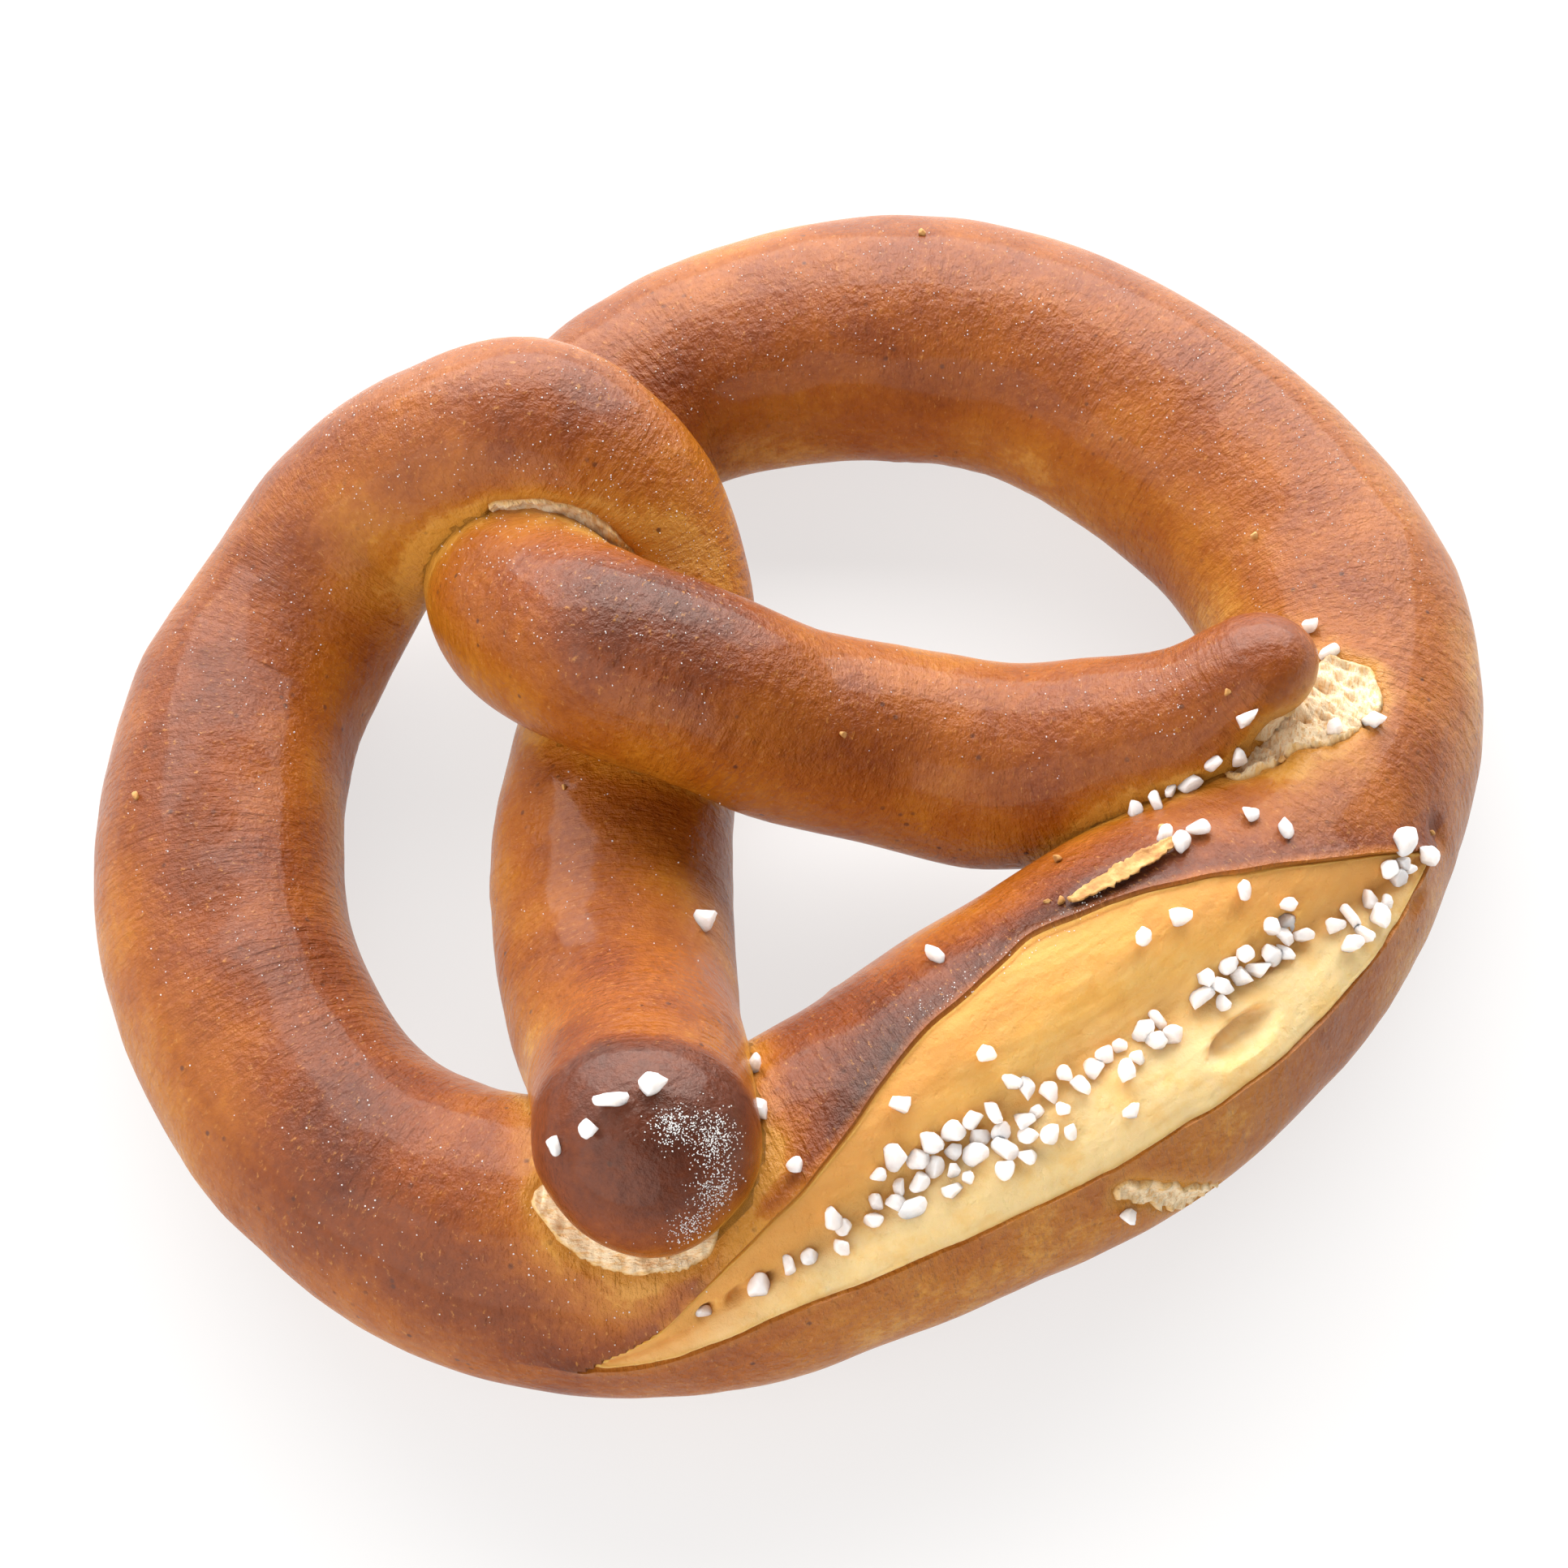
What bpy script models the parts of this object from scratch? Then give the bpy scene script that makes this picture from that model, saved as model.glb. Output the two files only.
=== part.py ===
"""Soft pretzel: one rope of dough, thick in the belly and thin at its ends.

The rope starts at the round end of arm A, runs under arm B and over the right strand, round
the left loop, along the belly and round the right loop. It then passes under the left strand
and over arm A, and ends in the thin tip of arm B. Where it meets itself it is baked together,
so the pretzel is one solid, with a flat underside where it lay on the tray.

Metres, +Z up. The belly is at the front (-Y) and the twist at the back (+Y). The origin is on
the table, under the middle of the pretzel.
"""

import math

import bmesh
import bpy
import numpy as np

MM = 0.001

# The rope's cross-sections: width and height in mm.
SECTIONS = {
    "tip_a": (24.8, 24.4),
    "neck_a": (24.0, 23.6),
    "arm_a": (27.4, 25.0),
    "under_b": (25.6, 23.6),
    "over_left": (23.4, 22.4),
    "left_shoulder": (24.4, 23.6),
    "left_loop": (28.0, 26.4),
    "left_corner": (28.0, 28.0),
    "belly_left": (31.6, 32.6),
    "belly_swell": (36.4, 36.8),
    "belly": (40.0, 38.6),
    "belly_right": (36.0, 35.6),
    "right_corner": (31.0, 30.0),
    "right_loop": (30.8, 28.0),
    "under_left": (27.0, 24.4),
    "over_a": (23.0, 23.0),
    "arm_b": (22.0, 22.0),
    "arm_b_middle": (23.8, 23.0),
    "wrist_b": (21.6, 21.4),
    "tip_b": (14.6, 14.6),
}

# The rope's route: x, y and the height of its round underside in mm, and the section there.
ROUTE = (
    (-42.5, -38, 23.0, "tip_a"),
    (-37.5, -29, 16.4, "neck_a"),
    (-33, -18, 8.0, None),
    (-28, -8, 3.0, None),
    (-22, 2, 0.8, "arm_a"),
    (-15, 11, 0.6, None),
    (-7, 19, 1.0, "under_b"),
    (0, 29, 6.8, None),
    (0, 38, 15.6, "over_left"),
    (-5, 45, 19.8, None),
    (-14, 50, 15.0, None),
    (-24, 53, 7.6, "left_shoulder"),
    (-34, 50, 1.8, None),
    (-45.5, 43.5, -1.2, None),
    (-55.5, 32.5, -1.2, "left_loop"),
    (-65, 12, -1.2, "left_loop"),
    (-65, -14, -1.2, "left_corner"),
    (-59, -27, -1.2, None),
    (-50, -36.5, -1.2, "belly_left"),
    (-37, -43.5, -1.2, None),
    (-21.5, -46.5, -1.2, "belly_swell"),
    (-3, -48, -1.2, "belly"),
    (16, -48, -1.2, "belly"),
    (34, -44.5, -1.2, "belly_right"),
    (47.5, -38, -1.2, None),
    (58, -30, -1.2, "right_corner"),
    (65.5, -17, -1.2, None),
    (67.5, 0.5, -1.2, "right_loop"),
    (63.5, 19, -1.2, None),
    (56.5, 33.5, -1.2, None),
    (45.5, 44, -1.2, "right_loop"),
    (32.5, 51, -1.2, None),
    (18, 54.5, -1.2, "under_left"),
    (4, 51, -0.8, None),
    (-8, 41, 4.4, None),
    (-15.5, 26, 15.4, "over_a"),
    (-13, 14, 21.6, None),
    (-7, 6, 20.8, None),
    (1, -1, 15.0, "arm_b"),
    (10.5, -7.5, 10.0, None),
    (19, -15, 8.5, "arm_b_middle"),
    (28.5, -22, 13.0, "wrist_b"),
    (37, -26.5, 20.4, None),
    (44, -28, 26.6, "tip_b"),
)

# The middle of the finished box, in the route's own coordinates.
ROUTE_MIDDLE = (1.2, -0.3)

RING_STEP = 3.5
RING_SIDES = 28
DOME_RINGS = 5

# The split along the belly: a lens between two lips of crust, with a valley between its walls.
# It starts just past the section belly_left and ends past belly_right. Angles go round the
# rope from its outer side, over the top.
SPLIT_AFTER_LEFT = 1.0
SPLIT_PAST_RIGHT = 10.5
LEFT_END_ANGLE = math.radians(12)
LIP_CLIMB = math.radians(20)
LIP_CLIMB_SHARE = 0.2
SPLIT_OPENING = math.radians(77)
SPLIT_RISE = 1.3
SPLIT_FALL = 0.95
VALLEY_PLACE = 0.44
VALLEY_DEPTH = 5.5
WALL_CURVE = 1.7

TABLE_SIZE = 300.0
TABLE_DEPTH = 20.0

CRUST_COLOUR = (0.45, 0.17, 0.05, 1.0)
CRUST_ROUGHNESS = 0.4


def station_places(points):
    """How far along the rope each station lies, in mm."""
    steps = np.linalg.norm(np.diff(points, axis=0), axis=1)
    return np.concatenate([[0.0], np.cumsum(steps)])


def smooth(values, knots, at):
    """The smooth curve through the values at the knots, read at the given places."""
    slopes = np.gradient(values, knots, axis=0)
    i = np.clip(np.searchsorted(knots, at, side="right") - 1, 0, len(knots) - 2)
    span = (knots[i + 1] - knots[i])[:, None]
    s = (at - knots[i])[:, None] / span
    start = (1 + 2 * s) * (1 - s) ** 2 * values[i] + s * (1 - s) ** 2 * span * slopes[i]
    end = s**2 * (3 - 2 * s) * values[i + 1] + s**2 * (s - 1) * span * slopes[i + 1]
    return start + end


def eased(knots, named_knots, sizes):
    """Sizes at every knot, easing from each named section to the next."""
    i = np.clip(np.searchsorted(named_knots, knots, side="right") - 1, 0, len(named_knots) - 2)
    s = (knots - named_knots[i]) / (named_knots[i + 1] - named_knots[i])
    s = (s * s * (3 - 2 * s))[:, None]
    return sizes[i] + (sizes[i + 1] - sizes[i]) * s


def rope_rings():
    """Centre, half width, half height and place along the rope of each ring, and the knots."""
    flat = np.array([station[:3] for station in ROUTE], float)
    flat[:, :2] -= ROUTE_MIDDLE
    knots = station_places(flat)
    named = [i for i, station in enumerate(ROUTE) if station[3]]
    halves = np.array([SECTIONS[ROUTE[i][3]] for i in named]) / 2
    halves = eased(knots, knots[named], halves)
    stations = np.column_stack([flat[:, :2], flat[:, 2] + halves[:, 1], halves])
    count = round(knots[-1] / RING_STEP)
    at = np.linspace(0, knots[-1], count + 1)
    return smooth(stations, knots, at), at, knots


def place_of(section, knots):
    """How far along the rope the first station with this section lies."""
    return knots[[station[3] for station in ROUTE].index(section)]


def split_depth(along, angle):
    """How far the split's wall lies below the round rope, in mm.

    along runs from 0 to 1 over the split's length. The lower lip climbs from the left end to
    its own level. The opening above it grows to its widest past the middle, then closes.
    """
    if not 0 < along < 1:
        return 0.0
    climb = min(along / LIP_CLIMB_SHARE, 1.0)
    low_lip = LEFT_END_ANGLE + LIP_CLIMB * climb * climb * (3 - 2 * climb)
    widest = SPLIT_RISE / (SPLIT_RISE + SPLIT_FALL)
    opening = (along / widest) ** SPLIT_RISE * ((1 - along) / (1 - widest)) ** SPLIT_FALL
    across = (angle - low_lip) / (SPLIT_OPENING * opening)
    if not 0 < across < 1:
        return 0.0
    if across < VALLEY_PLACE:
        wall = across / VALLEY_PLACE
    else:
        wall = (1 - across) / (1 - VALLEY_PLACE)
    return VALLEY_DEPTH * opening * wall**WALL_CURVE


def dome(centre, tangent, halves):
    """Sections that round off an end of the rope, from the rim out to just before the pole."""
    radius = halves.mean()
    turns = [math.pi / 2 * (k + 1) / (DOME_RINGS + 1) for k in range(DOME_RINGS)]
    return [(centre + tangent * radius * math.sin(turn), halves * math.cos(turn)) for turn in turns]


def ring_points(centre, halves, tangent, along):
    """The points of one ring, from the rope's outer side round over its top, in mm."""
    side = np.cross(tangent, (0, 0, 1))
    side /= np.linalg.norm(side)
    up = np.cross(side, tangent)
    points = []
    for k in range(RING_SIDES):
        angle = 2 * math.pi * k / RING_SIDES
        arm = side * halves[0] * math.cos(angle) + up * halves[1] * math.sin(angle)
        length = np.linalg.norm(arm)
        points.append(centre + arm * (length - split_depth(along, angle)) / length)
    return points


def rope_points():
    """All rings of the rope with its domed ends, and the two poles."""
    rings, at, knots = rope_rings()
    centres = rings[:, :3]
    halves = rings[:, 3:]
    tangents = np.gradient(centres, axis=0)
    tangents /= np.linalg.norm(tangents, axis=1)[:, None]
    split_from = place_of("belly_left", knots) + SPLIT_AFTER_LEFT
    split_to = place_of("belly_right", knots) + SPLIT_PAST_RIGHT
    along = (at - split_from) / (split_to - split_from)

    start = dome(centres[0], -tangents[0], halves[0])
    loops = [ring_points(c, h, tangents[0], 0.0) for c, h in reversed(start)]
    loops += [ring_points(*ring) for ring in zip(centres, halves, tangents, along)]
    end = dome(centres[-1], tangents[-1], halves[-1])
    loops += [ring_points(c, h, tangents[-1], 0.0) for c, h in end]
    first_pole = centres[0] - tangents[0] * halves[0].mean()
    last_pole = centres[-1] + tangents[-1] * halves[-1].mean()
    return loops, first_pole, last_pole


def rope_mesh():
    """The swept rope as a closed mesh that passes through itself at the twist and the tips."""
    loops, first_pole, last_pole = rope_points()
    mesh = bmesh.new()
    rings = [[mesh.verts.new(point * MM) for point in loop] for loop in loops]
    for ring, following in zip(rings, rings[1:]):
        for k in range(RING_SIDES):
            n = (k + 1) % RING_SIDES
            mesh.faces.new((ring[k], ring[n], following[n], following[k]))
    for ring, pole in ((rings[0], first_pole), (rings[-1], last_pole)):
        point = mesh.verts.new(pole * MM)
        for k in range(RING_SIDES):
            mesh.faces.new((ring[k], ring[(k + 1) % RING_SIDES], point))
    bmesh.ops.recalc_face_normals(mesh, faces=mesh.faces)
    data = bpy.data.meshes.new("pretzel")
    mesh.to_mesh(data)
    mesh.free()
    return data


def crust_material():
    material = bpy.data.materials.new("crust")
    material.use_nodes = True
    shader = material.node_tree.nodes["Principled BSDF"]
    shader.inputs["Base Color"].default_value = CRUST_COLOUR
    shader.inputs["Roughness"].default_value = CRUST_ROUGHNESS
    return material


def table_cutter():
    """A slab below z = 0 that cuts the rope's underside flat."""
    mesh = bmesh.new()
    bmesh.ops.create_cube(mesh, size=1.0)
    bmesh.ops.scale(mesh, vec=(TABLE_SIZE * MM, TABLE_SIZE * MM, TABLE_DEPTH * MM), verts=mesh.verts)
    data = bpy.data.meshes.new("table_cutter")
    mesh.to_mesh(data)
    mesh.free()
    cutter = bpy.data.objects.new("table_cutter", data)
    cutter.location.z = -TABLE_DEPTH * MM / 2
    cutter.hide_render = True
    cutter.display_type = "WIRE"
    bpy.context.scene.collection.objects.link(cutter)
    return cutter


def main():
    for old in list(bpy.data.objects):
        bpy.data.objects.remove(old)
    pretzel = bpy.data.objects.new("pretzel", rope_mesh())
    bpy.context.scene.collection.objects.link(pretzel)
    pretzel.data.materials.append(crust_material())
    fuse = pretzel.modifiers.new("fuse_and_flatten", "BOOLEAN")
    fuse.operation = "DIFFERENCE"
    fuse.solver = "EXACT"
    fuse.use_self = True
    fuse.object = table_cutter()
    pretzel.data.shade_smooth()


main()
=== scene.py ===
"""The looks of the soft pretzel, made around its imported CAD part.

The bread is swept along the CAD part's own rope, with a finer surface. A second piece fills the
split and the torn spots with crumb. Salt, a flake of crust and loose crumbs lie on both.

Shapes are worked out in mm, and meshes are made in metres. A place on the rope is how far along
it something is, and an angle is how far round it, from its outer side over its top.
"""

import math
import random

import bmesh
import bpy
import numpy as np
from mathutils import Euler, Matrix, Vector, noise
from mathutils.bvhtree import BVHTree
from mathutils.kdtree import KDTree


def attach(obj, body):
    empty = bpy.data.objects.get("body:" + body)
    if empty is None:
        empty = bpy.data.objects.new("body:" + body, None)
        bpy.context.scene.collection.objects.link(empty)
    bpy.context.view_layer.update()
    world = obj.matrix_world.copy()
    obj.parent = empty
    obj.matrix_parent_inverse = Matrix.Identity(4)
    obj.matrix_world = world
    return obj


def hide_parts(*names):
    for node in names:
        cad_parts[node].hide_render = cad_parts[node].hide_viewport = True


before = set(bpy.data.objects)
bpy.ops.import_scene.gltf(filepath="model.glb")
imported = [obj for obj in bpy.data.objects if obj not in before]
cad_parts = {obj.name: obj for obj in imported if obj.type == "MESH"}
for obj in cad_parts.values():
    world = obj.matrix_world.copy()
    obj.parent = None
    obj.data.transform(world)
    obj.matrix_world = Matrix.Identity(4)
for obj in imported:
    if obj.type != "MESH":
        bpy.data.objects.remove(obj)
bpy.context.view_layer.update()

MM = 0.001

# The rope's route, as in the CAD part, from the end of arm A to the tip of arm B: x, y and the
# height of the round underside, and at some stations the width and height of its section.
ROUTE = (
    (-42.5, -38, 23, (24.8, 24.4)), (-37.5, -29, 16.4, (24, 23.6)), (-33, -18, 8),
    (-28, -8, 3), (-22, 2, 0.8, (27.4, 25)), (-15, 11, 0.6),
    (-7, 19, 1, (25.6, 23.6)), (0, 29, 6.8), (0, 38, 15.6, (23.4, 22.4)),
    (-5, 45, 19.8), (-14, 50, 15), (-24, 53, 7.6, (24.4, 23.6)),
    (-34, 50, 1.8), (-45.5, 43.5, -1.2), (-55.5, 32.5, -1.2, (28, 26.4)),
    (-65, 12, -1.2, (28, 26.4)), (-65, -14, -1.2, (28, 28)), (-59, -27, -1.2),
    (-50, -36.5, -1.2, (31.6, 32.6)), (-37, -43.5, -1.2), (-21.5, -46.5, -1.2, (36.4, 36.8)),
    (-3, -48, -1.2, (40, 38.6)), (16, -48, -1.2, (40, 38.6)), (34, -44.5, -1.2, (36, 35.6)),
    (47.5, -38, -1.2), (58, -30, -1.2, (31, 30)), (65.5, -17, -1.2),
    (67.5, 0.5, -1.2, (30.8, 28)), (63.5, 19, -1.2), (56.5, 33.5, -1.2),
    (45.5, 44, -1.2, (30.8, 28)), (32.5, 51, -1.2), (18, 54.5, -1.2, (27, 24.4)),
    (4, 51, -0.8), (-8, 41, 4.4), (-15.5, 26, 15.4, (23, 23)),
    (-13, 14, 21.6), (-7, 6, 20.8), (1, -1, 15, (22, 22)),
    (10.5, -7.5, 10), (19, -15, 8.5, (23.8, 23)), (28.5, -22, 13, (21.6, 21.4)),
    (37, -26.5, 20.4), (44, -28, 26.6, (14.6, 14.6)),
)
ROUTE_MIDDLE = (1.2, -0.3)
BELLY_LEFT = 18
BELLY_RIGHT = 23

# The mesh: how far apart its rings are, and the columns round the rope. The first column runs
# along the underside. Over the split, set columns follow its lips and its valley.
RING_STEP = 1.0
SPLIT_RING_STEP = 0.65
SPLIT_RING_MARGIN = 6.0
DOME_RINGS = 14
COLUMNS = 120
SPLIT_COLUMNS = (0, 8, 30, 47, 68, 100, 120)
BOTTOM_ANGLE = -90.0
FLANK_ANGLE = -35.0
BACK_ANGLE = 205.0
COLUMN_BLEND = 14.0

# The split, as in the CAD part, and how the baked dough makes its lips uneven.
SPLIT_AFTER_LEFT = 1.0
SPLIT_PAST_RIGHT = 10.5
LEFT_END_ANGLE = 12.0
LIP_CLIMB = 20.0
LIP_CLIMB_SHARE = 0.2
SPLIT_OPENING = 77.0
SPLIT_RISE = 1.3
SPLIT_FALL = 0.95
LEAST_OPENING = 0.22
LEFT_GAP = 0.07
VALLEY_PLACE = 0.44
VALLEY_DEPTH = 4.2
VALLEY_ROUNDING = 0.16
WALL_CURVE = 1.6
LIP_WANDER = 2.6
LIP_STEP = 1.3
LIP_WALL = 0.6
UPPER_LIP_RISE = 0.40
LOWER_LIP_RISE = 0.12
LIP_RISE_REACH = 1.5

# The crumb: how far it lies above the bread where that is open and under it elsewhere, how far
# it goes on under the crust, and how thick it is.
CRUMB_LIFT = 1.0
CRUMB_SINK = 0.5
CRUMB_MARGIN = 1.4
CRUMB_THICKNESS = 1.2

# Torn spots, where the crust came away: the middle and half sizes in mm, and from where to
# where along the rope the spot reaches.
TORN_SPOTS = (
    ((47, -32.2, 29.5), (9.8, 6.2, 7), (335, 372)),
    ((42, -33.8, 31), (5, 2.2, 2.2), (600, 640)),
    ((-2.4, -66.4, 25.2), (1.9, 4, 1.5), (295, 318)),
    ((-0.2, -67, 23.4), (2.4, 4, 1.9), (295, 318)),
    ((2, -67.8, 21.2), (2.3, 4, 2.4), (295, 318)),
    ((4, -68, 19), (2.6, 4, 2.1), (295, 318)),
    ((6.2, -68, 17), (2.2, 4, 2.3), (295, 318)),
    ((8.2, -68, 15.2), (2, 4, 1.4), (295, 318)),
)
# Torn seams, where a strand pulled away from another: the torn strand, the other one, both as
# from and to along the rope, the seam's width, and the middle and half sizes of its reach.
TORN_SEAMS = (
    ((236, 275), (0, 6), 1.3, (-50.6, -42.5, 30), (12.5, 9.5, 12)),
    ((78, 113), (515, 556), 1.6, (-9, 30, 33), (15, 10, 9)),
    ((335, 358), (596, 622), 1.7, (40.5, -35, 31), (7.5, 4, 5)),
)
TORN_STEP = 1.3
# Dents and holes, and blisters where the depth is negative: the middle, half sizes and depth.
DENTS = (
    ((46.6, -33.6, 30.8), (2.4, 0.9, 2.5), 1.5), ((39.4, -35.2, 32.5), (2.2, 0.8, 2.5), 1.3),
    ((50, -31, 29.8), (0.8, 1.6, 2.5), 0.8), ((28.5, -53.4, 34.2), (1, 0.9, 3), 1.8),
    ((-43.5, -54.8, 27.5), (1.6, 0.9, 2.5), 1.5), ((-40, -55.6, 28.5), (1.1, 0.7, 2.5), 1.3),
    ((-47, -54, 26), (1.3, 0.8, 2.5), 1.4), ((24.6, -57.2, 33), (2.6, 0.9, 3), 0.8),
    ((51.8, -50.7, 24.5), (1.6, 2.6, 3), 0.7), ((-46.5, -31, 42), (1.3, 1.3, 3), 0.35),
    ((-40.3, 52.3, 24.7), (2, 2, 3), 0.3), ((-23.4, 7.7, 25), (1.2, 1.2, 3), -0.5),
    ((-26, 9.6, 24), (0.9, 0.9, 3), -0.4),
)
# Pits in the crumb: place along the rope, angle, half length, half width and depth.
PITS = ((318, 45.5, 4.4, 1.9, 2.6), (329, 66, 0.9, 0.8, 1.6), (341, 30, 1.8, 1, 0.6))
# How far the ends of the rope are drawn in: to where along it, the side, and the depth in mm.
TRIMS = (
    (0, (-0.485, -0.728, -0.485), 2.1),
    (0, (-0.96, -0.06, -0.28), 1),
    (622, (0.30, -0.90, -0.32), 2.2),
)
TRIM_FADE = 12.0

# The block that cuts the bread flat underneath, in mm, and the sharpest smooth-shaded angle.
TABLE_SIZE = 300.0
TABLE_DEPTH = 20.0
SHARP_ANGLE = 60.0

# The camera looks at this point from this direction and distance.
LOOK_AT = (-0.0012, 0.0003, 0.012)
AZIMUTH = -33.7
ELEVATION = 61.0
CAMERA_DISTANCE = 0.45
LENS = 90.0
SENSOR_WIDTH = 36.0

# The studio, in metres. Each softbox has its azimuth from the camera's, its elevation, size,
# power and colour.
FLOOR_SIZE = 12.0
FLOOR_DROP = 0.0002
FLOOR_GLOW = 0.70
WORLD_COLOUR = (1.0, 0.985, 0.97, 1.0)
WORLD_STRENGTH = 0.28
SOFTBOX_DISTANCE = 0.8
SOFTBOXES = (
    ("back_box", 180, 34, (1.55, 0.75), 25.5, (1.0, 0.99, 0.98)),
    ("left_box", -95, 35, (0.7, 0.5), 1.6, (1.0, 0.99, 0.98)),
    ("front_box", -30, 30, (1.2, 0.7), 6.5, (1.0, 0.98, 0.96)),
)


# ---- the rope

def smooth(values, knots, at):
    """The smooth curve through the values at the knots, read at the given places."""
    slopes = np.gradient(values, knots, axis=0)
    i = np.clip(np.searchsorted(knots, at, side="right") - 1, 0, len(knots) - 2)
    span = (knots[i + 1] - knots[i])[:, None]
    s = (at - knots[i])[:, None] / span
    start = (1 + 2 * s) * (1 - s) ** 2 * values[i] + s * (1 - s) ** 2 * span * slopes[i]
    end = s**2 * (3 - 2 * s) * values[i + 1] + s**2 * (s - 1) * span * slopes[i + 1]
    return start + end


def ease(share):
    """A smooth step from 0 to 1."""
    share = np.clip(share, 0.0, 1.0)
    return share * share * (3 - 2 * share)


def rope_stations():
    """Centre, half width and half height at each station, and how far along the rope it is."""
    flat = np.array([station[:3] for station in ROUTE], float)
    flat[:, :2] -= ROUTE_MIDDLE
    steps = np.linalg.norm(np.diff(flat, axis=0), axis=1)
    knots = np.concatenate([[0.0], np.cumsum(steps)])
    named = [i for i, station in enumerate(ROUTE) if len(station) > 3]
    sizes = np.array([ROUTE[i][3] for i in named]) / 2
    i = np.clip(np.searchsorted(knots[named], knots, side="right") - 1, 0, len(named) - 2)
    share = (knots - knots[named][i]) / (knots[named][i + 1] - knots[named][i])
    halves = sizes[i] + (sizes[i + 1] - sizes[i]) * ease(share)[:, None]
    return np.column_stack([flat[:, :2], flat[:, 2] + halves[:, 1], halves]), knots


STATIONS, KNOTS = rope_stations()
ROPE_END = KNOTS[-1]
SPLIT_FROM = KNOTS[BELLY_LEFT] + SPLIT_AFTER_LEFT
SPLIT_TO = KNOTS[BELLY_RIGHT] + SPLIT_PAST_RIGHT


def rope_frames(places):
    """Centres, half sizes, and the directions along, to the side and up at these places."""
    inside = np.clip(places, 0, ROPE_END)
    rings = smooth(STATIONS, KNOTS, inside)
    ahead = smooth(STATIONS, KNOTS, np.clip(inside + 1, 0, ROPE_END))
    behind = smooth(STATIONS, KNOTS, np.clip(inside - 1, 0, ROPE_END))
    along = ahead[:, :3] - behind[:, :3]
    along /= np.linalg.norm(along, axis=1)[:, None]
    side = np.cross(along, (0, 0, 1))
    side /= np.linalg.norm(side, axis=1)[:, None]
    return rings[:, :3], rings[:, 3:], along, side, np.cross(side, along)


def ring_places():
    """Where the rings are: closer together over the split, and beyond both ends for the domes."""
    fine_from = SPLIT_FROM - SPLIT_RING_MARGIN
    fine_to = SPLIT_TO + SPLIT_RING_MARGIN
    before = np.linspace(0, fine_from, round(fine_from / RING_STEP) + 1)
    over = np.linspace(fine_from, fine_to, round((fine_to - fine_from) / SPLIT_RING_STEP))
    after = np.linspace(fine_to, ROPE_END, round((ROPE_END - fine_to) / RING_STEP) + 1)
    turns = math.pi / 2 * np.arange(1, DOME_RINGS + 1) / (DOME_RINGS + 0.4)
    start = -STATIONS[0, 3:].mean() * np.sin(turns)[::-1]
    end = ROPE_END + STATIONS[-1, 3:].mean() * np.sin(turns)
    return np.concatenate([start, before, over[1:-1], after, end])


def noise_at(points, size, seed, octaves=1):
    """Smooth noise from about -1 to 1 at each point, with features of this size in mm."""
    shift = Vector((seed * 7.31, seed * 3.17, seed * 5.93))
    if octaves == 1:
        return np.array([noise.noise(Vector(p) / size + shift) for p in points])
    return np.array([noise.fractal(Vector(p) / size + shift, 0.8, 2.1, octaves) for p in points])


def cells_at(points, size, seed):
    """How far each point is from the nearest of scattered cell centres, in cells."""
    shift = Vector((seed * 4.7, seed * 2.3, seed * 6.1))
    return np.array([noise.voronoi(Vector(p) / size + shift)[0][0] for p in points])


# ---- the split

def split_lines(places):
    """For each place: share along the split, its opening, and its lower and upper lip angles."""
    share = (places - SPLIT_FROM) / (SPLIT_TO - SPLIT_FROM)
    inside = np.clip(share, 0, 1)
    low = LEFT_END_ANGLE + LIP_CLIMB * ease(inside / LIP_CLIMB_SHARE)
    widest = SPLIT_RISE / (SPLIT_RISE + SPLIT_FALL)
    opening = (inside / widest) ** SPLIT_RISE * ((1 - inside) / (1 - widest)) ** SPLIT_FALL
    opening += LEFT_GAP * ease(inside / 0.03) * (1 - ease((inside - 0.08) / 0.15))
    along = np.column_stack([places, 0 * places, 0 * places])
    wander = LIP_WANDER * np.sqrt(opening)
    low = low + wander * 0.5 * noise_at(along, 9.0, 1, 2)
    high = low + SPLIT_OPENING * opening + wander * noise_at(along, 11.0, 2, 2)
    return share, opening, low, np.maximum(high, low)


def column_angles(places):
    """The angle of every column on every ring, in degrees."""
    low, high = split_lines(places)[2:]
    regular = BOTTOM_ANGLE + 360.0 / COLUMNS * np.arange(COLUMNS)
    beyond = np.maximum(SPLIT_FROM - places, places - SPLIT_TO)
    follow = 1 - ease(beyond / COLUMN_BLEND)
    angles = np.empty((len(places), COLUMNS))
    for i in range(len(places)):
        top = max(high[i], low[i] + SPLIT_OPENING * LEAST_OPENING)
        valley = low[i] + (top - low[i]) * VALLEY_PLACE
        keys = (BOTTOM_ANGLE, FLANK_ANGLE, low[i], valley, top, BACK_ANGLE, BOTTOM_ANGLE + 360)
        set_angles = np.interp(np.arange(COLUMNS), SPLIT_COLUMNS, keys)
        angles[i] = regular + (set_angles - regular) * follow[i]
    return angles


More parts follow.
